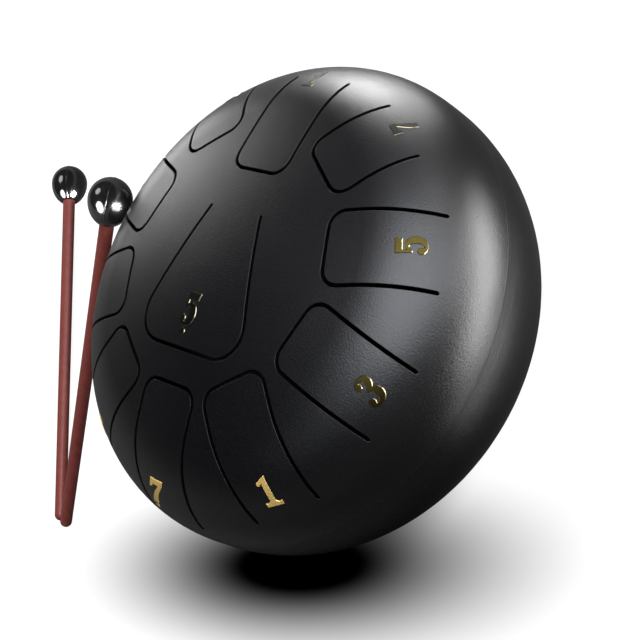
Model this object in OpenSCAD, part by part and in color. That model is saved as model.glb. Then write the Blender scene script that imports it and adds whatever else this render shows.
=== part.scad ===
// Steel tongue drum on four rubber feet, with two mallets.
// Millimetres. The drum stands on its feet on the plane z = 0, its axis is Z,
// and the player sits on the -Y side, towards which the middle tongue points.

/* [Shells] */
// Outer radius of the drum at its rim
rim_r = 127; // [120:1:140]
// Thickness of the shell steel
wall = 1.8; // [1.2:0.1:2.5]
// Radius of the shallow crown of the top shell
top_crown_r = 363; // [330:1:420]
// Radius of the rounded shoulder of the top shell
top_shoulder_r = 55.5; // [50:0.5:60]
// Radius of the shallow crown of the bottom shell
bottom_crown_r = 508; // [450:1:600]
// Radius of the rounded shoulder of the bottom shell
bottom_shoulder_r = 76; // [70:1:80]
// Height of the upright band on the rim of the bottom shell
band_h = 7.5; // [5:0.5:12]

/* [Ring tongues] */
// Steel left between neighbouring ring tongues half way out, from slot to slot
tongue_strip = 4; // [3:0.5:10]
// Width of the cut slots
slot_w = 2; // [1.2:0.1:3]
// Radius of the free corners of the ring tongues, on the middle of the slot
tongue_corner_r = 8; // [4:0.5:14]

/* [Middle tongue] */
// Steel left between the root of the middle tongue and the ring tongue behind it
middle_root_gap = 22.5; // [18:0.5:28]
// Steel left between the free end of the middle tongue and the ring tongue before it
middle_end_gap = 17; // [13:0.5:21]
// Width of the middle tongue at its root
middle_root_w = 37; // [30:1:44]
// Width that the sides of the middle tongue run out to at its free end
middle_end_w = 84; // [70:1:90]
// Radius of the free corners of the middle tongue
middle_corner_r = 15; // [8:0.5:20]

/* [Sound port] */
// Bore of the collar round the sound port
port_d = 80; // [60:1:88]
// Height of the straight bore of the collar
collar_h = 7; // [4:0.5:12]
// Outer radius of the bend between the bottom shell and the collar
collar_bend_r = 4.5; // [3.5:0.5:6]

/* [Feet] */
// Number of rubber feet
foot_n = 4; // [4:1:4]
// Distance from the drum's axis to the middle of a foot, where it meets the shell
foot_ring_r = 66; // [62:1:72]
// Diameter of a foot at the shell
foot_d = 24; // [20:0.5:28]
// Diameter of a foot at the floor
foot_tip_d = 19; // [16:0.5:22]
// Height of the lowest point of the bottom shell over the floor
ground_clearance = 6; // [4:0.5:9]
// Rubber between the bush and the shell
foot_web = 4; // [3:0.5:5]

/* [Foot screws] */
// Thread diameter of the foot screws
screw_d = 4; // [3:0.5:4.5]
// Diameter of the screw heads
screw_head_d = 7.6; // [6.5:0.1:8]
// Height of the screw heads
screw_head_h = 2.4; // [1.8:0.1:2.8]
// Diameter of the bushes and of the shell washers
washer_d = 10; // [9:0.5:11]
// Thickness of the bushes and of the shell washers
washer_t = 1; // [0.8:0.1:1.2]
// Width of the nuts across their flats
nut_w = 7; // [6:0.5:8]
// Height of the nuts
nut_h = 3.2; // [2.5:0.1:4]
// Length of thread that stands out of the nuts
screw_over = 1.5; // [1:0.5:3]

/* [Mallets] */
// Length of a mallet from the tip of its stick to the top of its head
mallet_l = 262; // [200:1:280]
// Diameter of a mallet head
head_d = 25; // [20:0.5:30]
// Length of a mallet head along its stick
head_l = 27.5; // [24:0.5:34]
// Diameter of a stick where it meets the head
stick_d = 8.4; // [7:0.1:9.5]
// Diameter of a stick at its tip
stick_tip_d = 7.6; // [6:0.1:9]
// Diameter of the tenon on the stick, inside the head
tenon_d = 5; // [4:0.1:6]
// Length of the tenon
tenon_l = 15; // [10:0.5:18]
// Height that the moulding line stands out of the head
flash_h = 0.3; // [0.2:0.05:0.5]
// Width of the moulding line
flash_w = 0.7; // [0.5:0.05:1.2]
// Width of the flat ring of rubber round the stick, where the head begins
head_lip = 1; // [0.5:0.1:2]

/* [Where the mallets are put down] */
// Direction from the drum's axis in which the head of mallet 2 leans on the shoulder
lean_dir = 171; // [165:1:178]
// How far up the round of the shoulder that head leans, from level with its middle
lean_rise = 40; // [30:1:46]
// Direction in which the stick of mallet 2 runs away from its head
lean_heading = 244; // [238:0.5:254]
// Direction in which mallet 1 lies on the floor, from its tip to its head
lying_heading = 120.5; // [110:0.5:130]

/* [Hidden] */

// Fits and small sizes
slip = 0.1;        // play round a shank, a tenon or a bush
rest_gap = 0.3;    // air between pieces that only lean or lie on each other
overrun = 2;       // how far a cutting body runs past what it cuts
corner_steps = 8;  // points on a tongue corner
bowl_steps = 8;    // points on the arcs that the feet are shaped to
section_fn = 360;  // fineness of the large circles in the shells' sections
$fn = 72;

// Ring tongues, clockwise seen from above. Each starts at its root, near the rim,
// and ends free, nearer the middle: the low notes have the long tongues.
ring_n = 10;
ring_first_dir = 18;
ring_root_shares = [0.895, 0.915, 0.94, 0.955, 0.95, 0.925, 0.895, 0.865, 0.825, 0.845];
ring_end_shares = [0.517, 0.523, 0.503, 0.492, 0.512, 0.515, 0.525, 0.590, 0.382, 0.537];
strip_share = 0.5;
ring_half = 180 / ring_n;
// Width of a ring tongue, between the middles of its two slots
tongue_w = 2 * (rim_r * strip_share * sin(ring_half) - tongue_strip / 2) / cos(ring_half);
// The middle tongue runs between the ring tongues on the Y axis.
front_i = 3;
back_i = 8;
middle_root_y = rim_r * ring_end_shares[back_i] - middle_root_gap;
middle_end_y = rim_r * ring_end_shares[front_i] - middle_end_gap;

// Top shell: the crown and the shoulder touch where both have the slope top_tangent.
top_shoulder_c = rim_r - top_shoulder_r;
top_tangent = asin(top_shoulder_c / (top_crown_r - top_shoulder_r));
top_depth = top_crown_r - (top_crown_r - top_shoulder_r) * cos(top_tangent);

// Bottom shell
bottom_shoulder_c = rim_r - bottom_shoulder_r;
bottom_tangent = asin(bottom_shoulder_c / (bottom_crown_r - bottom_shoulder_r));
bowl_depth = bottom_crown_r - (bottom_crown_r - bottom_shoulder_r) * cos(bottom_tangent);
seam_z = ground_clearance + bowl_depth + band_h;
top_z = seam_z + top_depth;
// Middles of the arcs in the section, as [distance from the axis, height]
top_crown_c = [0, top_z - top_crown_r];
top_shoulder_m = [top_shoulder_c, seam_z];
bottom_crown_c = [0, ground_clearance + bottom_crown_r];
bottom_shoulder_m = [bottom_shoulder_c, seam_z - band_h];

// Points of an arc with radius r about [cx, cy], from angle a0 to a1
function arc(cx, cy, r, a0, a1, n) =
    [for (i = [0:n]) let (a = a0 + (a1 - a0) * i / n) [cx + r * cos(a), cy + r * sin(a)]];
function flipped(points) = [for (i = [len(points) - 1:-1:0]) points[i]];

// Both rims are bevelled on the outside over half the wall, and the weld fills the groove.
groove_d = wall / 2;

// Sound port: the collar turns in and up from the shell through a quarter bend.
collar_inner_r = port_d / 2;
bend_c_r = collar_inner_r + collar_bend_r;
bend_dir = asin(bend_c_r / (bottom_crown_r - collar_bend_r)) - 90;
bend_c_z = ground_clearance + bottom_crown_r
    + (bottom_crown_r - collar_bend_r) * sin(bend_dir);

// Feet: each is square to the shell where it sits, about the middle of the shoulder's arc.
foot_tilt = asin((foot_ring_r - bottom_shoulder_c) / bottom_shoulder_r);
foot_first_dir = 45;
foot_sit_z = seam_z - band_h - bottom_shoulder_r * cos(foot_tilt);
foot_drop = foot_sit_z / cos(foot_tilt);
foot_taper = (foot_d - foot_tip_d) / foot_drop;
foot_past = foot_d * sin(foot_tilt);
pocket_d = washer_d + 2 * slip;
hole_d = screw_d + 2 * slip;
// Levels below the shell's outside, along a foot's own axis
bush_level = foot_web + washer_t;
head_level = bush_level + screw_head_h;
// Levels above the shell's outside. A flat washer touches the hollow inside of the shell
// only at its edge.
inside_r = bottom_shoulder_r - wall;
washer_level = wall + inside_r - sqrt(inside_r * inside_r - washer_d * washer_d / 4) + slip / 2;
nut_level = washer_level + washer_t;
shank_top = nut_level + nut_h + screw_over;
cross_w = screw_head_d / 7;
cross_d = screw_head_h / 2;

// Mallets, along their own axis: the tip is at 0 and the head ends at mallet_l.
head_r = head_d / 2;
tip_r = stick_tip_d / 2;
head_z0 = mallet_l - head_l;
// Where the egg is widest, as a share of its length from the top
egg_share = 0.46;
head_mid = mallet_l - head_l * egg_share;
head_steps = 14;
throat_r = stick_d / 2 + head_lip;
throat_dir = acos(throat_r / head_r);
reach = head_mid - tip_r;

// Mallet 2 leans with its head on the shoulder and its tip on the floor.
lean_r = top_shoulder_c + (top_shoulder_r + head_r + flash_h + rest_gap) * cos(lean_rise);
lean_z = seam_z + (top_shoulder_r + head_r + flash_h + rest_gap) * sin(lean_rise);
lean_run = sqrt(reach * reach - (lean_z - tip_r) * (lean_z - tip_r));
lean_tip = [lean_r * cos(lean_dir) + lean_run * cos(lean_heading),
            lean_r * sin(lean_dir) + lean_run * sin(lean_heading), tip_r];
lean_tilt = acos((lean_z - tip_r) / reach);

// Mallet 1 lies on the floor, its tip beside the other tip.
lying_rise = head_r + flash_h - tip_r;
lying_tilt = acos(lying_rise / reach);
tip_side_dir = lying_heading + 45;
tip_spacing = stick_tip_d + rest_gap;
lying_tip = [lean_tip[0] + tip_spacing * cos(tip_side_dir),
             lean_tip[1] + tip_spacing * sin(tip_side_dir), tip_r];

// A tongue's outline about the middle of its slot, root at x = 0 and free end at x = l,
// moved outwards by grow. The sides run from half width w0 to half width w1.
function tongue_line(l, w0, w1, r, grow) =
    let (a = atan((w1 - w0) / l))
    let (cx = l - r, cy = w0 + (l - r) * tan(a) - r / cos(a))
    let (side = concat(
        [[-grow * sin(a), w0 + grow * cos(a)]],
        arc(cx, cy, r + grow, 90 + a, 0, corner_steps)))
    concat(side, flipped([for (p = side) [p[0], -p[1]]]));

// The slot round a tongue, with round ends, as a tall cutting body
module slot(l, w0, w1, r) {
    linear_extrude(height = top_z)
        polygon(concat(tongue_line(l, w0, w1, r, slot_w / 2),
                       flipped(tongue_line(l, w0, w1, r, -slot_w / 2))));
    for (side = [-1, 1])
        translate([0, side * w0, 0]) cylinder(d = slot_w, h = top_z);
}

module ring_slots() {
    for (i = [0:ring_n - 1]) {
        root = rim_r * ring_root_shares[i];
        rotate([0, 0, ring_first_dir - 2 * i * ring_half])
            translate([root, 0, seam_z])
                rotate([0, 0, 180])
                    slot(root - rim_r * ring_end_shares[i], tongue_w / 2, tongue_w / 2,
                         tongue_corner_r);
    }
}

module middle_slot() {
    translate([0, middle_root_y, seam_z])
        rotate([0, 0, -90])
            slot(middle_root_y + middle_end_y, middle_root_w / 2, middle_end_w / 2,
                 middle_corner_r);
}

// A ring one wall thick about c, as far as it lies inside the outline of cut
module arc_strip(c, r, cut) {
    difference() {
        intersection() {
            translate(c) circle(r = r, $fn = section_fn);
            polygon(cut);
        }
        translate(c) circle(r = r - wall, $fn = section_fn);
    }
}

// Half the section of the groove between the two rims, open past the rim by extra
module groove_section(extra) {
    polygon([
        [rim_r - groove_d, seam_z],
        [rim_r + extra, seam_z - groove_d - extra],
        [rim_r + extra, seam_z + groove_d + extra]]);
}

// Where two arcs of a section touch, they meet on the line from m to this far point.
function far_point(m, r, dir) = m + 2 * r * [cos(dir), sin(dir)];

// Half the section of a solid dome, inset from the outside of the top shell: the disc of
// the shoulder, and the disc of the crown as far as it lies above the shoulder's end
module dome_area(inset) {
    m = top_shoulder_m;
    joint = far_point(m, top_shoulder_r, 90 - top_tangent);
    translate(m) circle(r = top_shoulder_r - inset, $fn = section_fn);
    intersection() {
        translate(top_crown_c) circle(r = top_crown_r - inset, $fn = section_fn);
        polygon([m, joint, [0, joint[1]], [0, seam_z - overrun]]);
    }
}

module top_section() {
    difference() {
        intersection() {
            dome_area(0);
            translate([0, seam_z]) square(2 * rim_r);
        }
        dome_area(wall);
        groove_section(overrun);
    }
}

module bottom_section() {
    b = [bend_c_r, bend_c_z];
    b_r = collar_bend_r;
    m = bottom_shoulder_m;
    r = bottom_shoulder_r;
    bend_joint = far_point(b, b_r, bend_dir);
    joint = far_point(m, r, bottom_tangent - 90);
    difference() {
        union() {
            translate([collar_inner_r, bend_c_z]) square([wall, collar_h]);
            arc_strip(b, b_r, [b, b - [2 * b_r, 0], b - [2 * b_r, 2 * b_r], bend_joint]);
            arc_strip(bottom_crown_c, bottom_crown_r, [b, bend_joint, joint, m]);
            arc_strip(m, r, [m, joint, m + [2 * r, -2 * r], m + [2 * r, 0]]);
            translate([rim_r - wall, m[1]]) square([wall, band_h]);
        }
        groove_section(overrun);
    }
}

module top_shell() {
    color("#1b1b1d")
        difference() {
            rotate_extrude() top_section();
            ring_slots();
            middle_slot();
        }
}

module bottom_shell() {
    color("#1b1b1d")
        difference() {
            rotate_extrude() bottom_section();
            for (i = [0:foot_n - 1])
                at_foot(i)
                    translate([0, 0, -overrun]) cylinder(d = hole_d, h = wall + 2 * overrun);
        }
}

// The weld fills the groove flush with the outside.
module seam_weld() {
    color("#232325")
        rotate_extrude() groove_section(0);
}

// Puts a foot's parts in place: z = 0 on the shell's outside, +z into the drum
module at_foot(i) {
    rotate([0, 0, foot_first_dir + i * 360 / foot_n])
        translate([bottom_shoulder_c, 0, seam_z - band_h])
            rotate([0, -foot_tilt, 0])
                translate([0, 0, -bottom_shoulder_r])
                    children();
}

// Everything inside the outside of the bottom shell, below its band
module bowl_body() {
    rotate_extrude()
        polygon(concat(
            [[0, seam_z - band_h]],
            arc(0, bottom_crown_c[1], bottom_crown_r + slip / 2, -90, bottom_tangent - 90,
                bowl_steps),
            arc(bottom_shoulder_c, bottom_shoulder_m[1], bottom_shoulder_r + slip / 2,
                bottom_tangent - 90, 0, 3 * bowl_steps)));
}

// A foot tapers down to the floor, which cuts it off level. The screw head and the bush
// sit in a pocket from below, and the foot's top follows the shell.
module rubber_foot(i) {
    low = foot_drop + foot_past;
    color("#101010")
        difference() {
            at_foot(i)
                translate([0, 0, -low])
                    cylinder(d1 = foot_tip_d - foot_taper * foot_past,
                             d2 = foot_d + foot_taper * overrun, h = low + overrun);
            bowl_body();
            at_foot(i) {
                translate([0, 0, -low - overrun])
                    cylinder(d = pocket_d, h = low + overrun - foot_web);
                translate([0, 0, -low]) cylinder(d = hole_d, h = low + overrun);
            }
            translate([-rim_r, -rim_r, -rim_r]) cube([2 * rim_r, 2 * rim_r, rim_r]);
        }
}

module foot_bushes() {
    color("#b8babd")
        for (i = [0:foot_n - 1])
            at_foot(i)
                translate([0, 0, -bush_level])
                    difference() {
                        cylinder(d = washer_d, h = washer_t);
                        translate([0, 0, -overrun])
                            cylinder(d = hole_d, h = washer_t + 2 * overrun);
                    }
}

module foot_screws() {
    color("#a9abae")
        for (i = [0:foot_n - 1])
            at_foot(i)
                difference() {
                    union() {
                        translate([0, 0, -bush_level])
                            cylinder(d = screw_d, h = bush_level + shank_top);
                        translate([0, 0, -head_level])
                            cylinder(d1 = screw_head_d - screw_head_h / 2, d2 = screw_head_d,
                                     h = screw_head_h);
                    }
                    for (turn = [0, 90])
                        rotate([0, 0, turn])
                            translate([-screw_d / 2, -cross_w / 2, -head_level - cross_d])
                                cube([screw_d, cross_w, 2 * cross_d]);
                }
}

module shell_washers() {
    color("#b8babd")
        for (i = [0:foot_n - 1])
            at_foot(i)
                translate([0, 0, washer_level])
                    difference() {
                        cylinder(d = washer_d, h = washer_t);
                        translate([0, 0, -overrun])
                            cylinder(d = hole_d, h = washer_t + 2 * overrun);
                    }
}

module foot_nuts() {
    color("#a9abae")
        for (i = [0:foot_n - 1])
            at_foot(i)
                translate([0, 0, nut_level])
                    difference() {
                        cylinder(d = nut_w / cos(30), h = nut_h, $fn = 6);
                        translate([0, 0, -overrun])
                            cylinder(d = hole_d, h = nut_h + 2 * overrun);
                    }
}

// Lays a mallet's own axis from its tip centre along a tilt and a heading
module at_mallet(tip, tilt, heading) {
    translate(tip)
        rotate([0, tilt, heading])
            translate([0, 0, -tip_r])
                children();
}

module mallet_stick() {
    color("#7d443e")
        rotate_extrude()
            polygon(concat(
                arc(0, tip_r, tip_r, -90, 0, corner_steps),
                [[stick_d / 2, head_z0], [tenon_d / 2, head_z0],
                 [tenon_d / 2, head_z0 + tenon_l], [0, head_z0 + tenon_l]]));
}

// Half the outline of the egg-shaped head, from its throat to its top, moved out by grow:
// part of a long oval below the widest place, and a quarter of a shorter one above
function egg_line(grow) = concat(
    [for (i = [0:head_steps])
        let (a = throat_dir * (1 - i / head_steps))
        [(head_r + grow) * cos(a), head_mid - (head_mid - head_z0) * sin(a) / sin(throat_dir)]],
    [for (i = [1:head_steps])
        let (a = 90 * i / head_steps)
        [(head_r + grow) * cos(a), head_mid + (mallet_l - head_mid) * sin(a)]]);

module mallet_head() {
    flash = egg_line(flash_h);
    color("#0d0d0e")
        difference() {
            union() {
                rotate_extrude() polygon(concat([[0, head_z0]], egg_line(0)));
                rotate([90, 0, 0])
                    translate([0, 0, -flash_w / 2])
                        linear_extrude(height = flash_w)
                            polygon(concat(flash, flipped([for (p = flash) [-p[0], p[1]]])));
            }
            translate([0, 0, head_z0 - overrun])
                cylinder(d = tenon_d + 2 * slip, h = overrun + tenon_l + slip);
        }
}

top_shell();
bottom_shell();
seam_weld();
rubber_foot(0);  // rubber_foot_1
rubber_foot(1);  // rubber_foot_2
rubber_foot(2);  // rubber_foot_3
rubber_foot(3);  // rubber_foot_4
foot_bushes();
foot_screws();
shell_washers();
foot_nuts();
at_mallet(lying_tip, lying_tilt, lying_heading) mallet_stick();  // mallet_1_stick
at_mallet(lying_tip, lying_tilt, lying_heading) mallet_head();  // mallet_1_head
at_mallet(lean_tip, lean_tilt, lean_heading + 180) mallet_stick();  // mallet_2_stick
at_mallet(lean_tip, lean_tilt, lean_heading + 180) mallet_head();  // mallet_2_head
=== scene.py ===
"""Steel tongue drum with two mallets: materials, numerals, stage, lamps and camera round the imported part."""
import math

import bmesh
import bpy
import numpy as np
from mathutils import Matrix, Quaternion, Vector


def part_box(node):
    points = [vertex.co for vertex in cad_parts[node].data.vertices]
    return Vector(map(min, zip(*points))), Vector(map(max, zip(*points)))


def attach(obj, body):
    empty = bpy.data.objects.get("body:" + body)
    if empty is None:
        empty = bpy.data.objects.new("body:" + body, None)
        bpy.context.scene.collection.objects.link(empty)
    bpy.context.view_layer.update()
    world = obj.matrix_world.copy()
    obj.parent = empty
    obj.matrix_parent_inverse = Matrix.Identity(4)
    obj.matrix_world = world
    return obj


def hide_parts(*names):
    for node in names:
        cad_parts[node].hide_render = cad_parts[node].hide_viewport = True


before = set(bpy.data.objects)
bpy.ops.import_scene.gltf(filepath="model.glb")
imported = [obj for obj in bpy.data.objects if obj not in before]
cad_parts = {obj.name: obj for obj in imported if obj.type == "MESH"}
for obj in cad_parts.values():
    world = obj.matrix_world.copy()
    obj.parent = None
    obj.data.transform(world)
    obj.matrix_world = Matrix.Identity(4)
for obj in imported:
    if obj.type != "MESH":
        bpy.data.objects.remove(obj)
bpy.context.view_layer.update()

SCENE = bpy.context.scene
deg = math.radians

# Camera: its direction and distance from the middle of the drum's rim, and its roll. The image is taken
# to be IMAGE_PX wide and high. AIM_PX is where the rim's middle falls in it, from its top left corner.
VIEW_AZIMUTH = deg(-7.5)
VIEW_ELEVATION = deg(45)
VIEW_ROLL = deg(-62.5)
VIEW_DISTANCE = 0.762
FOCAL_PX = 1488.0
IMAGE_PX = 640.0
AIM_PX = (297.7, 303.7)
SENSOR_MM = 36
CLIP_NEAR, CLIP_FAR = 0.02, 40

# The drum's section in metres, as in the CAD model: a crown that runs into a rounded shoulder
RIM_R = 0.127
CROWN_R = 0.363
SHOULDER_R = 0.0555
TOP_Z = float(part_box("top_shell")[1][2])
CROWN_Z = TOP_Z - CROWN_R
SHOULDER_C = RIM_R - SHOULDER_R
CROWN_ANGLE = math.asin(SHOULDER_C / (CROWN_R - SHOULDER_R))
SEAM_Z = CROWN_Z + (CROWN_R - SHOULDER_R) * math.cos(CROWN_ANGLE)
CROWN_ARC = CROWN_R * CROWN_ANGLE

# The tongues' azimuths
FIRST_TONGUE = deg(18)
TONGUE_STEP = deg(36)
MIDDLE_TONGUE = deg(-90)

# Numerals: how far they stand out, the width of the bevel round the face, and their depth in the shell
NUMERAL_RISE = 0.00030
NUMERAL_BEVEL = 0.00030
NUMERAL_SINK = 0.00035

# Mallet heads: an egg whose widest place is a little nearer its far end, a bore for the stick's tenon and
# a moulding line. LINE_CROWDING moves the segments together at the line.
HEAD_R = 0.01247
HEAD_L = 0.0275
HEAD_EGG_SHARE = 0.46
HEAD_MIDDLE = HEAD_L * (1 - HEAD_EGG_SHARE)
DOME_L = HEAD_L - HEAD_MIDDLE
THROAT_R = 0.0052
BORE_R = 0.00262
BORE_L = 0.0152
LINE_RISE = 0.0002
LINE_HALF = 0.00028
THROAT_RINGS = 30
DOME_RINGS = 48
HEAD_SEGMENTS = 120
LINE_CROWDING = 0.46
SHARP_ANGLE = deg(50)

# Floor and backdrop. Their glow goes from its near strength to its far one between GLOW_NEAR and GLOW_FAR
# from the drum's foot, and where it is weaker near the drum it is painted shade. Three places on the floor
# have a painted shadow: an oval below the drum's near edge (SHADE), a round one under the drum (UNDER)
# and one below its port (PORT). Each fades out from its core to its edge, and the oval is wider by
# PAPER_SPREAD for the paper's own tone than for its glow.
STAGE_R = 8.0
STAGE_TOP = 2.6
STAGE_SEGMENTS = 96
FLOOR_RINGS = (0.0005, 0.3, 1, 3, STAGE_R)
GLOW_NEAR, GLOW_FAR = 0.25, 1.6
SHADE_PLACE = (-0.015, -0.127, 0)
SHADE_TURN = deg(19)
SHADE_SIZE = (0.205, 0.064, 1)
SHADE_CORE = 0.2
PAPER_SPREAD = 1.3
UNDER_PLACE = (-0.030, -0.040, 0)
UNDER_CORE, UNDER_EDGE = 0.055, 0.11
PORT_CORE, PORT_EDGE = 0.055, 0.085

# Lamps: they all point at one place in the drum. The room's light comes from all round.
LAMP_TARGET = Vector((0, 0, 0.1))
PLAIN_TINT = (1, 1, 1)
PANEL_TINT = (0.91, 0.93, 1.0)
ROOM_COLOUR = (0.95, 0.97, 1.0, 1)
ROOM_STRENGTH = 0.06


def toward(azimuth, elevation):
    """The unit vector towards an azimuth and an elevation."""
    level = math.cos(elevation)
    return Vector((level * math.cos(azimuth), level * math.sin(azimuth), math.sin(elevation)))


BACK = toward(VIEW_AZIMUTH, VIEW_ELEVATION)


def on_shell(arc, azimuth):
    """Point of the shell at an arc length from its top, and the unit vectors outwards, round and off it."""
    cosine, sine = math.cos(azimuth), math.sin(azimuth)
    if arc < CROWN_ARC:
        slope = arc / CROWN_R
        radius = CROWN_R * math.sin(slope)
        height = CROWN_Z + CROWN_R * math.cos(slope)
    else:
        slope = CROWN_ANGLE + (arc - CROWN_ARC) / SHOULDER_R
        radius = SHOULDER_C + SHOULDER_R * math.sin(slope)
        height = SEAM_Z + SHOULDER_R * math.cos(slope)
    outwards = Vector((cosine * math.cos(slope), sine * math.cos(slope), -math.sin(slope)))
    around = Vector((-sine, cosine, 0))
    off = Vector((cosine * math.sin(slope), sine * math.sin(slope), math.cos(slope)))
    return Vector((radius * cosine, radius * sine, height)), outwards, around, off


def shell_points(points):
    """The nearest points of the shell's outside to the given points, and its normals there."""
    reach = np.hypot(points[:, 0], points[:, 1])
    cosine, sine = points[:, 0] / reach, points[:, 1] / reach
    slope_r, slope_z = math.sin(CROWN_ANGLE), math.cos(CROWN_ANGLE)
    crown = reach * slope_z - (points[:, 2] - CROWN_Z) * slope_r < 0
    centre_r = np.where(crown, 0, SHOULDER_C)
    centre_z = np.where(crown, CROWN_Z, SEAM_Z)
    radius = np.where(crown, CROWN_R, SHOULDER_R)
    out, up = reach - centre_r, points[:, 2] - centre_z
    length = np.hypot(out, up)
    normals = np.stack([cosine * out / length, sine * out / length, up / length], 1)
    centres = np.stack([cosine * centre_r, sine * centre_r, centre_z], 1)
    return centres + normals * radius[:, None], normals


# Node materials: how far edges are rounded, how dark the dips of the foil and the paper are, and the
# width of the wood's pores as a share of their length
EDGE_WEAR = 0.0003
FOIL_DIP = 0.8
FIBRE_DIP = 0.985
GRAIN_SHARE = 0.03


class Nodes:
    """A material's node tree, with short calls for adding nodes and linking them."""

    def __init__(self, name):
        self.material = bpy.data.materials.new(name)
        self.material.use_nodes = True
        self.tree = self.material.node_tree
        self.tree.nodes.clear()
        self.output = self.add("OutputMaterial")

    def add(self, kind, links=None, **values):
        """A new node. links gives its inputs, each a socket or a value, and values its other settings."""
        node = self.tree.nodes.new("ShaderNode" + kind)
        for key, value in values.items():
            setattr(node, key, value)
        for key, value in (links or {}).items():
            socket = node.inputs[key]
            if isinstance(value, bpy.types.NodeSocket):
                self.tree.links.new(value, socket)
            else:
                socket.default_value = value
        return node

    def place(self):
        """The place on the object, in metres."""
        return self.add("TexCoord").outputs["Object"]

    def noise(self, vector, scale, detail, roughness, distortion=0.0):
        """A noise from 0 to 1, with scale waves in a metre."""
        links = {"Vector": vector, "Scale": scale, "Detail": detail}
        links |= {"Roughness": roughness, "Distortion": distortion}
        return self.add("TexNoise", links).outputs["Fac"]

    def ramp(self, factor, stops):
        """A colour ramp through stops of (place, colour)."""
        node = self.add("ValToRGB", {"Fac": factor})
        for element, (place, colour) in zip(node.color_ramp.elements, stops):
            element.position = place
            element.color = (*colour, 1)
        return node.outputs["Color"]

    def span(self, factor, low, high, from_low=0.3, from_high=0.7, smooth=False):
        """A factor between from_low and from_high, spread over low to high."""
        links = {"Value": factor, "From Min": from_low, "From Max": from_high, "To Min": low, "To Max": high}
        kind = "SMOOTHSTEP" if smooth else "LINEAR"
        return self.add("MapRange", links, interpolation_type=kind).outputs["Result"]

    def bump(self, height, distance, strength=1.0, normal=None):
        """The normal of a surface that a height from 0 to 1 lifts by up to distance."""
        links = {"Height": height, "Distance": distance, "Strength": strength}
        if normal is not None:
            links["Normal"] = normal
        return self.add("Bump", links).outputs["Normal"]

    def combine(self, operation, first, second):
        """Two numbers joined by an operation of the Math node."""
        return self.add("Math", {0: first, 1: second}, operation=operation).outputs["Value"]

    def distance(self, first, second=(0, 0, 0)):
        """How far one place is from another."""
        return self.add("VectorMath", {0: first, 1: second}, operation="DISTANCE").outputs["Value"]

    def surface(self, shader):
        """Ends the material with a shader and returns it."""
        self.tree.links.new(shader, self.output.inputs["Surface"])
        return self.material

    def principled(self, links):
        """Ends the material with the Principled shader."""
        return self.surface(self.add("BsdfPrincipled", links).outputs["BSDF"])


def painted_steel():
    """Satin black powder paint: a fine orange peel, a speckle and a slow drift of the gloss."""
    nodes = Nodes("painted_steel")
    place = nodes.place()
    grain = nodes.noise(place, scale=1150, detail=3, roughness=0.65)
    speck = nodes.noise(place, scale=1500, detail=2, roughness=0.5)
    drift = nodes.noise(place, scale=14, detail=3, roughness=0.55)
    dark, pale = (0.0006, 0.0006, 0.0009), (0.0044, 0.0046, 0.0058)
    edges = nodes.add("Bevel", {"Radius": EDGE_WEAR}, samples=4).outputs["Normal"]
    return nodes.principled({
        "Base Color": nodes.ramp(speck, [(0.40, dark), (0.66, pale)]),
        "Roughness": nodes.span(drift, 0.33, 0.37),
        "Specular IOR Level": 0.2,
        "Normal": nodes.bump(grain, distance=0.00014, normal=edges),
    })


def numeral_gold(name, face, edge, metallic, face_rough, edge_rough):
    """Gold foil on raised numerals: the face and the bevel round it. Each copy paints light or shade in its
    colours, and a bevel lighter than its face is a painted highlight.
    """
    nodes = Nodes(name)
    crinkle = nodes.noise(nodes.place(), scale=700, detail=3, roughness=0.6)
    bevel = nodes.add("Attribute", attribute_name="bevel").outputs["Fac"]
    dark = tuple(FOIL_DIP * value for value in face)
    faces = nodes.ramp(crinkle, [(0.3, dark), (0.7, face)])
    foil = nodes.add("MixRGB", {"Fac": bevel, "Color1": faces, "Color2": (*edge, 1)})
    return nodes.principled({
        "Base Color": foil.outputs["Color"],
        "Metallic": metallic,
        "Roughness": nodes.span(bevel, face_rough, edge_rough, 0, 1),
        "Normal": nodes.bump(crinkle, distance=0.00001, strength=0.6),
    })


def foot_rubber():
    """Matt moulded rubber with a dusty bloom."""
    nodes = Nodes("foot_rubber")
    place = nodes.place()
    grain = nodes.noise(place, scale=1500, detail=3, roughness=0.6)
    bloom = nodes.noise(place, scale=90, detail=4, roughness=0.6)
    return nodes.principled({
        "Base Color": nodes.ramp(bloom, [(0.3, (0.014, 0.014, 0.014)), (0.75, (0.028, 0.027, 0.026))]),
        "Roughness": nodes.span(grain, 0.7, 0.85),
        "Specular IOR Level": 0.35,
        "Normal": nodes.bump(grain, distance=0.00005, strength=0.8),
    })


def zinc_steel():
    """Zinc plate: a fine crystal mottle and turning marks."""
    nodes = Nodes("zinc_steel")
    place = nodes.place()
    cells = nodes.add("TexVoronoi", {"Vector": place, "Scale": 900.0}).outputs["Distance"]
    fine = nodes.noise(place, scale=2500, detail=2, roughness=0.5)
    return nodes.principled({
        "Base Color": nodes.ramp(cells, [(0.1, (0.50, 0.51, 0.53)), (0.6, (0.60, 0.61, 0.60))]),
        "Metallic": 1.0,
        "Roughness": nodes.span(fine, 0.28, 0.40),
        "Normal": nodes.bump(fine, distance=0.00002, strength=0.6),
    })


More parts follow.
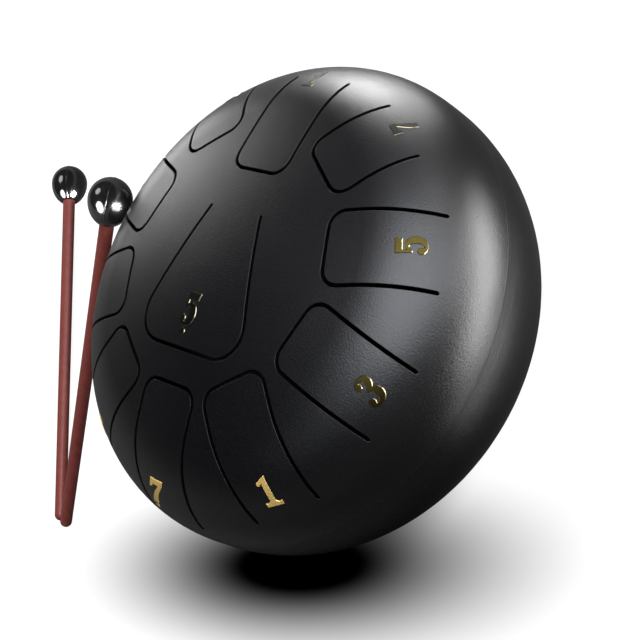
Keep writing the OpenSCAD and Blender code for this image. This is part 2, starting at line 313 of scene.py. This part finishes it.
def stick_wood(name, axis):
    """Red-brown lacquered stick: long fine pores along the grain under an even coat."""
    nodes = Nodes(name)
    turn = Vector(axis).rotation_difference(Vector((0, 0, 1))).to_euler()
    stretch = {"Vector": nodes.place(), "Rotation": turn, "Scale": (1, 1, GRAIN_SHARE)}
    along = nodes.add("Mapping", stretch).outputs["Vector"]
    fibre = nodes.noise(along, scale=1300, detail=4, roughness=0.6, distortion=0.2)
    bands = nodes.noise(along, scale=260, detail=3, roughness=0.5, distortion=0.4)
    tone = nodes.ramp(bands, [(0.3, (0.218, 0.050, 0.041)), (0.7, (0.250, 0.060, 0.050))])
    pores = nodes.ramp(fibre, [(0.32, (0.84, 0.78, 0.78)), (0.5, (1, 1, 1))])
    colour = nodes.add("MixRGB", {"Fac": 1.0, "Color1": tone, "Color2": pores}, blend_type="MULTIPLY")
    return nodes.principled({
        "Base Color": colour.outputs["Color"],
        "Roughness": nodes.span(fibre, 0.46, 0.38),
        "Specular IOR Level": 0.12,
        "Coat Weight": 0.04,
        "Coat Roughness": 0.2,
        "Normal": nodes.bump(fibre, distance=0.00003, strength=0.5),
    })


def head_rubber():
    """Glossy black moulded rubber with faint waves in its polish and a few specks of dust."""
    nodes = Nodes("head_rubber")
    place = nodes.place()
    wave = nodes.noise(place, scale=160, detail=2, roughness=0.5)
    dust = nodes.noise(place, scale=2600, detail=2, roughness=0.5)
    return nodes.principled({
        "Base Color": nodes.ramp(dust, [(0.6, (0.009, 0.009, 0.010)), (0.78, (0.030, 0.030, 0.031))]),
        "Roughness": nodes.span(dust, 0.10, 0.15, 0.4, 0.8),
        "Specular IOR Level": 0.7,
        "Normal": nodes.bump(wave, distance=0.00003, strength=0.5),
    })


def pale_stage(name, colour, seen_glow, gloss_glow, shade=None):
    """Pale paper whose own light, seen by the camera and in gloss and glass, makes the background white.

    Each glow is a pair: its strength near the drum and far from it. A shade, where given, darkens the
    paper's tone and its glow by place: a painted shadow."""
    nodes = Nodes(name)
    place = nodes.place()
    fibres = nodes.noise(place, scale=220, detail=3, roughness=0.5)
    dim = tuple(value * FIBRE_DIP for value in colour)
    tone = nodes.ramp(fibres, [(0.3, dim), (0.7, colour)])
    # Painted shadow: the shade darkens the paper's tone and its glow by their place on the floor
    paper_shade = shade(nodes, place, PAPER_SPREAD) if shade else 1.0
    glow_shade = shade(nodes, place, 1.0) if shade else 1.0
    tone = nodes.add("VectorMath", {0: tone, "Scale": paper_shade}, operation="SCALE").outputs["Vector"]
    paper = nodes.add("BsdfDiffuse", {"Color": tone, "Roughness": 0.5}).outputs["BSDF"]

    path = nodes.add("LightPath").outputs
    gloss = nodes.combine("MAXIMUM", path["Is Glossy Ray"], path["Is Transmission Ray"])
    out = nodes.distance(place)
    shares = []
    for ray, (near, far) in ((path["Is Camera Ray"], seen_glow), (gloss, gloss_glow)):
        glow = nodes.span(out, near, far, GLOW_NEAR, GLOW_FAR, smooth=True)
        shares.append(nodes.combine("MULTIPLY", ray, glow))
    strength = nodes.combine("MULTIPLY", nodes.combine("ADD", *shares), glow_shade)
    light = nodes.add("Emission", {"Color": (1, 1, 1, 1), "Strength": strength}).outputs["Emission"]
    both = nodes.add("AddShader", {0: paper, 1: light}).outputs["Shader"]
    behind = nodes.add("NewGeometry").outputs["Backfacing"]
    clear = nodes.add("BsdfTransparent").outputs["BSDF"]
    return nodes.surface(nodes.add("MixShader", {0: behind, 1: both, 2: clear}).outputs["Shader"])


def painted_drum_shadow(nodes, place, spread):
    """A painted shadow: the share of the floor's own light that stays, none under the drum and below its
    near edge.
    """
    links = {
        "Vector": place,
        "Location": SHADE_PLACE,
        "Rotation": (0, 0, SHADE_TURN),
        "Scale": tuple(value * spread for value in SHADE_SIZE),
    }
    turned = nodes.add("Mapping", links, vector_type="TEXTURE").outputs["Vector"]
    edge = nodes.span(nodes.distance(turned), 0, 1, SHADE_CORE, 1.0, smooth=True)
    under = nodes.span(nodes.distance(place, UNDER_PLACE), 0, 1, UNDER_CORE, UNDER_EDGE, smooth=True)
    port = nodes.span(nodes.distance(place), 0, 1, PORT_CORE, PORT_EDGE, smooth=True)
    return nodes.combine("MULTIPLY", nodes.combine("MULTIPLY", edge, under), port)


# Digits: each is drawn DIGIT_HEIGHT units high on a baseline, as strokes through (x, y, half width)
# points, polygons, and balls of (x, y, radius)
DIGIT_HEIGHT = 10
DIGIT_MIDDLE = (3.2, 5.0)
DIGITS = {
    "1": {
        "polygons": [
            [(2.3, 0.6), (2.3, 8.7), (4.1, 9.9), (4.1, 0.6)],
            [(2.4, 8.0), (1.2, 7.0), (0.6, 7.7), (0.9, 8.3), (4.1, 10.0), (4.1, 9.0)],
            [(0.5, 0.0), (5.9, 0.0), (6.0, 1.5), (5.0, 1.2), (4.1, 1.9), (2.3, 1.9), (1.4, 1.2), (0.4, 1.5)],
        ],
    },
    "2": {
        "strokes": [[(1.1, 8.2, 0.45), (1.9, 9.4, 0.4), (3.2, 9.6, 0.45), (4.6, 8.8, 0.8), (4.9, 7.2, 0.95),
                     (4.0, 5.3, 0.7), (2.5, 3.6, 0.5), (1.3, 2.1, 0.45), (0.95, 1.2, 0.4)]],
        "polygons": [[(0.5, 0.0), (5.6, 0.0), (6.0, 2.9), (5.5, 2.9), (5.0, 1.8), (0.9, 1.8)]],
        "balls": [(1.4, 7.75, 0.95)],
    },
    "3": {
        "strokes": [[(1.2, 8.5, 0.45), (2.0, 9.4, 0.4), (3.2, 9.6, 0.42), (4.4, 8.9, 0.75),
                     (4.75, 7.6, 0.95), (4.3, 6.2, 0.65), (3.1, 5.4, 0.35)],
                    [(3.1, 5.4, 0.35), (4.5, 4.9, 0.6), (5.2, 3.1, 1.1), (4.7, 1.3, 0.8), (3.2, 0.45, 0.45),
                     (1.9, 0.65, 0.4), (1.1, 1.4, 0.45)]],
        "balls": [(1.4, 8.0, 0.95), (1.4, 2.0, 1.0)],
    },
    "4": {
        "strokes": [[(3.9, 9.6, 0.35), (2.2, 6.4, 0.35), (0.7, 3.4, 0.35)]],
        "polygons": [
            [(0.4, 2.6), (6.2, 2.6), (6.2, 3.8), (0.4, 3.8)],
            [(3.3, 0.8), (5.0, 0.8), (5.0, 9.95), (3.7, 9.95)],
            [(2.4, 0.0), (5.9, 0.0), (5.9, 1.2), (2.4, 1.2)],
        ],
    },
    "5": {
        "strokes": [[(1.55, 5.2, 0.3), (2.3, 6.05, 0.35), (3.4, 6.35, 0.5), (4.7, 5.6, 0.85),
                     (5.25, 3.5, 1.05), (4.7, 1.4, 0.8), (3.3, 0.45, 0.45), (2.0, 0.65, 0.4),
                     (1.2, 1.4, 0.5)]],
        "polygons": [
            [(1.2, 8.0), (5.7, 8.0), (6.1, 10.0), (1.2, 10.0)],
            [(1.2, 5.1), (1.85, 5.1), (1.85, 8.5), (1.2, 8.5)],
        ],
        "balls": [(1.5, 2.0, 0.95)],
    },
    "6": {
        "strokes": [[(5.0, 8.5, 0.4), (4.2, 9.4, 0.4), (3.1, 9.5, 0.45), (1.9, 8.3, 0.8), (1.3, 5.5, 1.0),
                     (1.4, 2.6, 1.0), (2.2, 0.95, 0.7), (3.3, 0.45, 0.45), (4.6, 1.5, 0.85),
                     (4.95, 3.2, 1.0), (4.5, 4.8, 0.75), (3.4, 5.6, 0.4), (2.3, 5.0, 0.4), (1.7, 3.9, 0.5)]],
        "balls": [(4.7, 7.9, 0.9)],
    },
    "7": {
        "strokes": [[(5.3, 8.2, 0.6), (4.6, 6.5, 0.7), (3.7, 4.5, 0.9), (3.2, 2.6, 1.05),
                     (3.05, 1.05, 1.1)]],
        "polygons": [
            [(0.7, 8.0), (5.9, 7.6), (5.9, 9.8), (0.7, 9.8)],
            [(0.5, 6.7), (1.4, 6.7), (1.9, 8.2), (1.9, 10.0), (0.5, 10.0)],
            [(1.95, 0.0), (4.15, 0.0), (4.15, 1.2), (1.95, 1.2)],
        ],
    },
}
DOT_R = 0.8
DOT_BELOW = (3.2, -1.9, DOT_R)
DOT_ABOVE = (3.2, 11.9, DOT_R)

# The grid that a numeral's outline is cut from, in units. GRID_NUDGE keeps its points off the outline.
GRID_X = (-0.6, 7.2)
GRID_Y = (-3.2, 13.2)
GRID_STEP = 0.125
GRID_NUDGE = 1e-6
FAR_AWAY = 1e9
PATH_STEPS = 14

# How much a numeral's strokes are thickened, in units, and how far it leans for each unit of height
BOLD = 0.26
LESS_BOLD = 0.10
LIGHT = 0.05
SLANT = 0.46

# The kinds of a numeral's polygons
FACE, BEVEL, HIDDEN = 0, 1, 2


def smooth_path(points):
    """A Catmull-Rom curve through the points, half widths and all."""
    ends = np.array(points)
    ends = np.vstack([2 * ends[0] - ends[1], ends, 2 * ends[-1] - ends[-2]])
    t = np.linspace(0, 1, PATH_STEPS, endpoint=False)[:, None]
    rows = []
    for a, b, c, d in zip(ends, ends[1:], ends[2:], ends[3:]):
        square, cube = 2 * a - 5 * b + 4 * c - d, 3 * b - a - 3 * c + d
        rows.append(0.5 * (2 * b + (c - a) * t + square * t**2 + cube * t**3))
    return np.vstack(rows + [ends[-2:-1]])


def ball_distance(x, y, balls):
    """Signed distance to the nearest of some balls, negative inside."""
    best = np.full(x.shape, FAR_AWAY)
    for ball_x, ball_y, radius in balls:
        best = np.minimum(best, np.hypot(x - ball_x, y - ball_y) - radius)
    return best


def polygon_distance(x, y, corners):
    """Signed distance to a polygon, negative inside."""
    best = np.full(x.shape, FAR_AWAY)
    inside = np.zeros(x.shape, bool)
    for (ax, ay), (bx, by) in zip(corners, corners[1:] + corners[:1]):
        edge_x, edge_y = bx - ax, by - ay
        length_squared = edge_x * edge_x + edge_y * edge_y
        share = np.clip(((x - ax) * edge_x + (y - ay) * edge_y) / length_squared, 0, 1)
        best = np.minimum(best, np.hypot(x - ax - share * edge_x, y - ay - share * edge_y))
        if ay != by:
            inside ^= ((ay > y) != (by > y)) & (x < ax + (y - ay) * edge_x / edge_y)
    return np.where(inside, -best, best)


def digit_distance(x, y, parts, dots):
    """Signed distance to a digit and its dots."""
    best = ball_distance(x, y, parts.get("balls", []) + dots)
    for stroke in parts.get("strokes", []):
        best = np.minimum(best, ball_distance(x, y, smooth_path(stroke)))
    for corners in parts.get("polygons", []):
        best = np.minimum(best, polygon_distance(x, y, corners))
    return best


def clip_ring(ring, level, keep_below):
    """The part of a ring of (key, value) corners that lies below a level, or above it."""
    kept = []
    for (key_a, a), (key_b, b) in zip(ring, ring[1:] + ring[:1]):
        a_in, b_in = (a <= level) == keep_below, (b <= level) == keep_below
        if a_in:
            kept.append((key_a, a))
        if a_in != b_in:
            kept.append(((min(key_a, key_b), max(key_a, key_b), level), level))
    return kept


def cut_cells(distance, outline, inner):
    """Rings of the grid's triangles inside the outline's level, cut along the inner level, with their kinds.

    A corner's key is the number of its grid point alone, or the keys of an edge's two ends and the level."""
    columns = distance.shape[1]
    flat = distance.ravel()
    pieces = []
    lowest = np.minimum(distance[:-1], distance[1:])
    lowest = np.minimum(lowest[:, :-1], lowest[:, 1:])
    for row, column in zip(*np.nonzero(lowest < outline)):
        a = int(row * columns + column)
        for corners in ((a, a + 1, a + columns + 1), (a, a + columns + 1, a + columns)):
            ring = clip_ring([((k,), float(flat[k])) for k in corners], outline, True)
            if len(ring) < 3:
                continue
            for part, kind in ((clip_ring(ring, inner, True), FACE), (clip_ring(ring, inner, False), BEVEL)):
                if len(part) >= 3:
                    pieces.append(([key for key, _ in part], kind))
    return pieces


def numeral_plan(digit, dots, bold, bevel):
    """A numeral's flat plan in units: its points, their signed distances, its rings and their kinds."""
    x, y = np.meshgrid(np.arange(*GRID_X, GRID_STEP), np.arange(*GRID_Y, GRID_STEP))
    distance = digit_distance(x, y, DIGITS[digit], dots) - bold + GRID_NUDGE
    rows = np.stack([x.ravel(), y.ravel(), distance.ravel()], 1)
    numbers, points = {}, []

    def number(key):
        """The number of the point that a key names. It is made when it is first asked for."""
        if key not in numbers:
            numbers[key] = len(points)
            if len(key) == 1:
                points.append(rows[key[0]])
            else:
                (a,), (b,), level = key
                share = (level - rows[a, 2]) / (rows[b, 2] - rows[a, 2])
                points.append((*(rows[a, :2] + share * (rows[b, :2] - rows[a, :2])), level))
        return numbers[key]

    pieces = cut_cells(distance, 0.0, -bevel)
    rings = [[number(key) for key in ring] for ring, _ in pieces]
    kinds = [kind for _, kind in pieces]
    points = np.array(points)
    return points[:, :2], points[:, 2], rings, kinds


def outline_edges(rings):
    """The directed edges that only one ring has, in order."""
    once = set()
    for ring in rings:
        for a, b in zip(ring, ring[1:] + ring[:1]):
            if (b, a) in once:
                once.discard((b, a))
            else:
                once.add((a, b))
    return sorted(once)


def raised_mesh(name, top, bottom, rings, kinds):
    """A closed mesh from the top points to the bottom ones, with the bevel marked and its edges sharp."""
    count = len(top)
    sides = [[b, a, a + count, b + count] for a, b in outline_edges(rings)]
    below = [[k + count for k in reversed(ring)] for ring in rings]
    mesh = bpy.data.meshes.new(name)
    mesh.from_pydata(np.vstack([top, bottom]).tolist(), [], rings + sides + below)
    mesh.polygons.foreach_set("use_smooth", [True] * len(mesh.polygons))
    marks = kinds + [BEVEL] * len(sides) + [FACE] * len(below)
    bevel = mesh.attributes.new("bevel", "FLOAT", "FACE")
    bevel.data.foreach_set("value", [float(mark) for mark in marks])
    mesh.update()

    owners = {}
    groups = kinds + [HIDDEN] * (len(sides) + len(below))
    for polygon, group in zip(mesh.polygons, groups):
        for key in polygon.edge_keys:
            owners.setdefault(key, set()).add(group)
    sharp = mesh.attributes.new("sharp_edge", "BOOLEAN", "EDGE")
    sharp.data.foreach_set("value", [len(owners[tuple(sorted(edge.vertices))]) > 1 for edge in mesh.edges])
    return mesh


def add_object(name, data):
    """A new object of a mesh, a lamp or a camera, linked to the scene."""
    piece = bpy.data.objects.new(name, data)
    SCENE.collection.objects.link(piece)
    return piece


def numeral(name, digit, arc, azimuth, height, material, turn=0.0, aside=0.0, dot=None, slant=0.0,
            top_out=False, bold=BOLD):
    """A raised numeral on the shell, with its middle at an arc length and an azimuth.

    Its top points to the drum's middle, or away from it with top_out. It is turned about its own middle by
    turn, moved round the drum by aside, and leans by slant."""
    unit = height / DIGIT_HEIGHT
    dots = [dot] if dot else []
    points, distances, rings, kinds = numeral_plan(digit, dots, bold, NUMERAL_BEVEL / unit)

    origin, outwards, around, off = on_shell(arc, azimuth)
    up, right = (outwards, -around) if top_out else (-outwards, around)
    spin = Matrix.Rotation(turn, 3, off)
    up, right = spin @ up, spin @ right
    local = (points - DIGIT_MIDDLE) * unit
    local[:, 0] += slant * local[:, 1]
    flat = np.array(origin + around * aside) + local[:, :1] * np.array(right) + local[:, 1:] * np.array(up)
    ground, normals = shell_points(flat)
    rise = np.clip(-distances * unit / NUMERAL_BEVEL, 0, 1) * NUMERAL_RISE
    top = ground + normals * rise[:, None]
    bottom = ground - normals * NUMERAL_SINK

    mesh = raised_mesh(name, top, bottom, rings, kinds)
    mesh.materials.append(material)
    piece = add_object(name, mesh)
    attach(piece, "drum")


# CAD nodes
def dress(nodes, material):
    """Gives CAD nodes a material."""
    for node in nodes:
        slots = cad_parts[node].data.materials
        slots.clear()
        slots.append(material)


def node_points(node):
    """A CAD node's points, one in each row."""
    return np.array([tuple(vertex.co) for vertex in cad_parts[node].data.vertices])


def long_axis(node):
    """The unit vector along a CAD node's longest way."""
    points = node_points(node)
    return np.linalg.svd(points - points.mean(0), full_matrices=False)[2][0]


# Mallet heads
def head_place(node, stick):
    """The middle of a head's throat, and unit vectors along the head, to the side that shows and across."""
    axis = Vector(long_axis(stick)).normalized()
    head, wood = node_points(node), node_points(stick)
    if (head.mean(0) - wood.mean(0)) @ np.array(axis) < 0:
        axis = -axis
    side = (BACK - axis * BACK.dot(axis)).normalized()
    across = axis.cross(side)
    base = np.array(axis) * (head @ np.array(axis)).min()
    for way in (side, across):
        reach = wood @ np.array(way)
        base += np.array(way) * (reach.min() + reach.max()) / 2
    return base, np.array(axis), np.array(side), np.array(across)


def bore_line():
    """The bore's wall from its end to the throat, as (radius, height) points."""
    return [(0.0, BORE_L), (BORE_R, BORE_L), (BORE_R, 0.0)]


def egg_line():
    """The egg's half outline from the throat to the far end, as (radius, height) points."""
    line = []
    throat = math.acos(THROAT_R / HEAD_R)
    for k in range(THROAT_RINGS + 1):
        a = throat * (1 - k / THROAT_RINGS)
        line.append((HEAD_R * math.cos(a), HEAD_MIDDLE - HEAD_MIDDLE * math.sin(a) / math.sin(throat)))
    for k in range(1, DOME_RINGS):
        a = math.pi / 2 * k / DOME_RINGS
        line.append((HEAD_R * math.cos(a), HEAD_MIDDLE + DOME_L * math.sin(a)))
    return line + [(0.0, HEAD_L)]


def head_mesh(name, base, axis, side, across):
    """The turned form of a head, with a moulding line that runs over it lengthwise."""
    steps = np.arange(HEAD_SEGMENTS) * math.tau / HEAD_SEGMENTS
    angles = steps - LINE_CROWDING * np.sin(2 * steps)
    mesh = bmesh.new()
    rings = []
    for line, has_line in ((bore_line(), False), (egg_line(), True)):
        for radius, height in line:
            if radius == 0:
                rings.append([mesh.verts.new(base + axis * height)])
                continue
            ring = []
            for angle in angles:
                off = radius * abs(math.sin(angle)) / LINE_HALF
                grow = LINE_RISE * (1 - min(off, 1) ** 2) ** 2 if has_line else 0.0
                lift = grow * (height - HEAD_MIDDLE) / DOME_L if height > HEAD_MIDDLE else 0.0
                out = side * math.cos(angle) + across * math.sin(angle)
                ring.append(mesh.verts.new(base + out * (radius + grow) + axis * (height + lift)))
            rings.append(ring)
    for low, high in zip(rings, rings[1:]):
        for k in range(HEAD_SEGMENTS):
            a, b = k % len(low), (k + 1) % len(low)
            c, d = (k + 1) % len(high), k % len(high)
            corners = [low[a], low[b], high[c], high[d]]
            mesh.faces.new(list(dict.fromkeys(corners)))
    for face in mesh.faces:
        face.smooth = True
    data = bpy.data.meshes.new(name)
    mesh.to_mesh(data)
    mesh.free()
    data.set_sharp_from_angle(angle=SHARP_ANGLE)
    return data


def egg_head(name, node, stick, body, material):
    """A mallet head in fine smooth mesh for its CAD node, with its moulding line on the side that shows."""
    data = head_mesh(name, *head_place(node, stick))
    data.materials.append(material)
    piece = add_object(name, data)
    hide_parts(node)
    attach(piece, body)
    return piece


# Floor and backdrop
def stage_piece(name, rings, material):
    """A surface of revolution about Z through the given (radius, height) rings, seen from its inside."""
    turns = [math.tau * k / STAGE_SEGMENTS for k in range(STAGE_SEGMENTS)]
    points, faces = [], []
    for radius, height in rings:
        points += [(radius * math.cos(turn), radius * math.sin(turn), height) for turn in turns]
    for ring in range(len(rings) - 1):
        for k in range(STAGE_SEGMENTS):
            a, b = ring * STAGE_SEGMENTS + k, ring * STAGE_SEGMENTS + (k + 1) % STAGE_SEGMENTS
            faces.append((a, a + STAGE_SEGMENTS, b + STAGE_SEGMENTS, b))
    mesh = bpy.data.meshes.new(name)
    mesh.from_pydata(points, [], faces)
    mesh.polygons.foreach_set("use_smooth", [True] * len(mesh.polygons))
    mesh.materials.append(material)
    piece = add_object(name, mesh)


# Lamps
def light_group(name, pieces, state):
    """The pieces as a group that a lamp lights alone (INCLUDE) or leaves out (EXCLUDE)."""
    group = bpy.data.collections.new(name)
    for piece in pieces:
        group.objects.link(piece)
    for member in group.collection_objects:
        member.light_linking.link_state = state
    return group


def softbox(name, azimuth, elevation, distance, width, height, radiance, tint=PLAIN_TINT, spin=0):
    """An oval area lamp of a given radiance, turned to the drum and left out of the camera's sight."""
    away = toward(deg(azimuth), deg(elevation))
    data = bpy.data.lights.new(name, "AREA")
    data.shape = "ELLIPSE"
    data.size, data.size_y = width, height
    # The power is the radiance times pi times the oval's area
    data.energy = radiance * math.pi * math.pi / 4 * width * height
    data.color = tint
    lamp = add_object(name, data)
    lamp.location = LAMP_TARGET + away * distance
    lamp.rotation_mode = "QUATERNION"
    lamp.rotation_quaternion = (-away).to_track_quat("-Z", "Y") @ Quaternion((0, 0, 1), deg(spin))
    lamp.visible_camera = False
    return lamp


def matt_lamp(*values):
    """A lamp that lights every surface and shows in no gloss."""
    lamp = softbox(*values)
    lamp.visible_glossy = False


def card(*values, **more):
    """A card that shows only in the gloss of what isn't a mallet head."""
    lamp = softbox(*values, **more)
    lamp.visible_diffuse = False
    lamp.light_linking.receiver_collection = NOT_HEADS


def head_card(*values):
    """A card that shows only in the gloss of the mallet heads, past whatever stands between."""
    lamp = softbox(*values)
    lamp.visible_diffuse = False
    lamp.light_linking.receiver_collection = ONLY_HEADS
    lamp.light_linking.blocker_collection = ONLY_HEADS


def dim_room():
    """A faint even light from all round."""
    world = bpy.data.worlds.new("dim_room")
    world.use_nodes = True
    background = world.node_tree.nodes["Background"].inputs
    background["Color"].default_value = ROOM_COLOUR
    background["Strength"].default_value = ROOM_STRENGTH
    return world


# Camera
def photo_camera():
    """The camera at the photo's place, turned and rolled as there."""
    level = Vector((0, 0, 1)).cross(BACK).normalized()
    rise = BACK.cross(level)
    right = math.cos(VIEW_ROLL) * level + math.sin(VIEW_ROLL) * rise
    up = math.cos(VIEW_ROLL) * rise - math.sin(VIEW_ROLL) * level
    pixel = VIEW_DISTANCE / FOCAL_PX
    data = bpy.data.cameras.new("camera")
    data.sensor_width = SENSOR_MM
    data.lens = FOCAL_PX / IMAGE_PX * data.sensor_width
    data.clip_start, data.clip_end = CLIP_NEAR, CLIP_FAR
    turn = Matrix((right, up, BACK)).transposed().to_4x4()
    place = Vector((0, 0, SEAM_Z)) + BACK * VIEW_DISTANCE
    place += right * (IMAGE_PX / 2 - AIM_PX[0]) * pixel + up * (AIM_PX[1] - IMAGE_PX / 2) * pixel
    camera = add_object("camera", data)
    camera.matrix_world = Matrix.Translation(place) @ turn
    return camera


# The CAD nodes' looks, and the mallet heads
glossy_rubber = head_rubber()
dress(("top_shell", "bottom_shell", "seam_weld"), painted_steel())
dress(["rubber_foot_%d" % k for k in (1, 2, 3, 4)], foot_rubber())
dress(("foot_bushes", "foot_screws", "shell_washers", "foot_nuts"), zinc_steel())
heads = []
for body in ("mallet_1", "mallet_2"):
    stick = body + "_stick"
    heads.append(egg_head(body + "_egg", body + "_head", stick, body, glossy_rubber))
    dress([stick], stick_wood(stick + "_wood", long_axis(stick)))

# Gold: the face's colour and the bevel's, how metallic both are, and their roughness. The three are lit
# and shaded copies of one gold foil, with painted light and shade, and the two shaded ones have bevels
# much lighter than their faces as a painted highlight.
GOLD_PAINTED_LIT = numeral_gold("numeral_gold_painted_lit", (0.72, 0.49, 0.135), (0.74, 0.51, 0.15), 0.1, 0.5, 0.45)
GOLD_PAINTED_SHADE = numeral_gold("numeral_gold_painted_shade", (0.018, 0.0145, 0.0036), (0.15, 0.13, 0.075), 1.0, 0.35, 0.22)
GOLD_PAINTED_DEEP_SHADE = numeral_gold("numeral_gold_painted_deep_shade", (0.0050, 0.0046, 0.0034), (0.085, 0.077, 0.05), 1.0, 0.45, 0.25)

# The ring's numerals, tongue by tongue from the first one clockwise: name, digit, arc length from the
# drum's top to the numeral's middle, height, gold as a painted lit or shaded copy, and what else sets it apart
RING_NUMERALS = (
    ("numeral_ring_5", "5", 0.1077, 0.0145, GOLD_PAINTED_SHADE, {"turn": deg(7), "aside": 0.0010}),
    ("numeral_ring_3", "3", 0.1145, 0.0152, GOLD_PAINTED_SHADE, {"turn": deg(-9), "aside": 0.0002}),
    ("numeral_ring_1", "1", 0.1198, 0.0165, GOLD_PAINTED_LIT, {"turn": deg(-7), "aside": -0.0008, "bold": LIGHT}),
    ("numeral_ring_7_low", "7", 0.1212, 0.0175, GOLD_PAINTED_LIT,
     {"aside": -0.0064, "dot": DOT_BELOW, "slant": SLANT, "bold": LESS_BOLD}),
    ("numeral_ring_6_low", "6", 0.1260, 0.0152, GOLD_PAINTED_LIT, {"dot": DOT_BELOW}),
    ("numeral_ring_2", "2", 0.1235, 0.0152, GOLD_PAINTED_SHADE, {}),
    ("numeral_ring_4", "4", 0.1195, 0.0152, GOLD_PAINTED_SHADE, {}),
    ("numeral_ring_6", "6", 0.1190, 0.0152, GOLD_PAINTED_SHADE, {}),
    ("numeral_ring_1_high", "1", 0.1080, 0.0130, GOLD_PAINTED_DEEP_SHADE,
     {"aside": 0.0040, "dot": DOT_ABOVE, "top_out": True}),
    ("numeral_ring_7", "7", 0.1135, 0.0130, GOLD_PAINTED_DEEP_SHADE, {"aside": 0.0010}),
)
for k, (name, digit, arc, height, gold, more) in enumerate(RING_NUMERALS):
    numeral(name, digit, arc, FIRST_TONGUE - k * TONGUE_STEP, height, gold, **more)
numeral("numeral_middle_5_low", "5", 0.0262, MIDDLE_TONGUE, 0.0163, GOLD_PAINTED_DEEP_SHADE, aside=-0.0028, dot=DOT_BELOW)

# The stage: the paper's colour, and its glow near the drum and far from it, for the camera and for gloss.
# The floor's weak glow for gloss near the drum is painted shade, and its shade paints the drum's shadow.
floor_paper = pale_stage("floor_paper", (0.17, 0.17, 0.172), (0.97, 0.98), (0.02, 0.35), shade=painted_drum_shadow)
wall_paper = pale_stage("wall_paper", (0.24, 0.24, 0.243), (0.98, 0.98), (0.4, 0.4))
stage_piece("floor", [(radius, 0) for radius in FLOOR_RINGS], floor_paper)
stage_piece("backdrop", [(STAGE_R, 0), (STAGE_R, STAGE_TOP)], wall_paper)

ONLY_HEADS = light_group("only_heads", heads, "INCLUDE")
NOT_HEADS = light_group("not_heads", heads, "EXCLUDE")

# Lamps and cards: azimuth and elevation in degrees, distance, width and height in metres, and radiance
matt_lamp("lamp_main", 103, 62, 1.5, 0.56, 0.56, 26)
matt_lamp("lamp_fill", -40, 45, 1.6, 1.1, 1.1, 4.0)
card("card_panel", 26, 50, 1.3, 1.40, 1.45, 16, tint=PANEL_TINT)
card("card_panel_low", 32, 8, 1.3, 0.95, 0.55, 11)
card("card_panel_side", 62, 22, 1.3, 0.5, 0.45, 9)
card("card_over", 120, 80, 1.3, 0.5, 0.5, 2.8)
card("card_front", -62, 48, 1.3, 0.8, 0.65, 1.2, tint=PANEL_TINT)
card("card_top_edge", 119, 4, 1.0, 0.36, 0.36, 28)
card("card_top_near", 96, -2, 0.27, 0.12, 0.09, 8)
card("card_top_right", 102, 7, 1.0, 0.32, 0.34, 6)
card("card_left_low", 164, 2, 1.2, 0.45, 0.45, 7)
card("card_left_high", 160, 22, 1.2, 0.45, 0.45, 5)
card("card_strip", 26, -12, 0.27, 0.28, 0.095, 31, spin=14)
card("card_strip_low", 0, -25, 0.215, 0.12, 0.08, 5.5)
head_card("head_glint_left", -100, 36, 1.5, 1.0, 1.3, 24)
head_card("head_glint_right", -24, -10, 1.5, 1.0, 1.3, 480)
head_card("head_glint_high", 161, 59, 1.5, 0.65, 0.65, 6)

SCENE.world = dim_room()
SCENE.camera = photo_camera()
SCENE.view_settings.view_transform = "Standard"
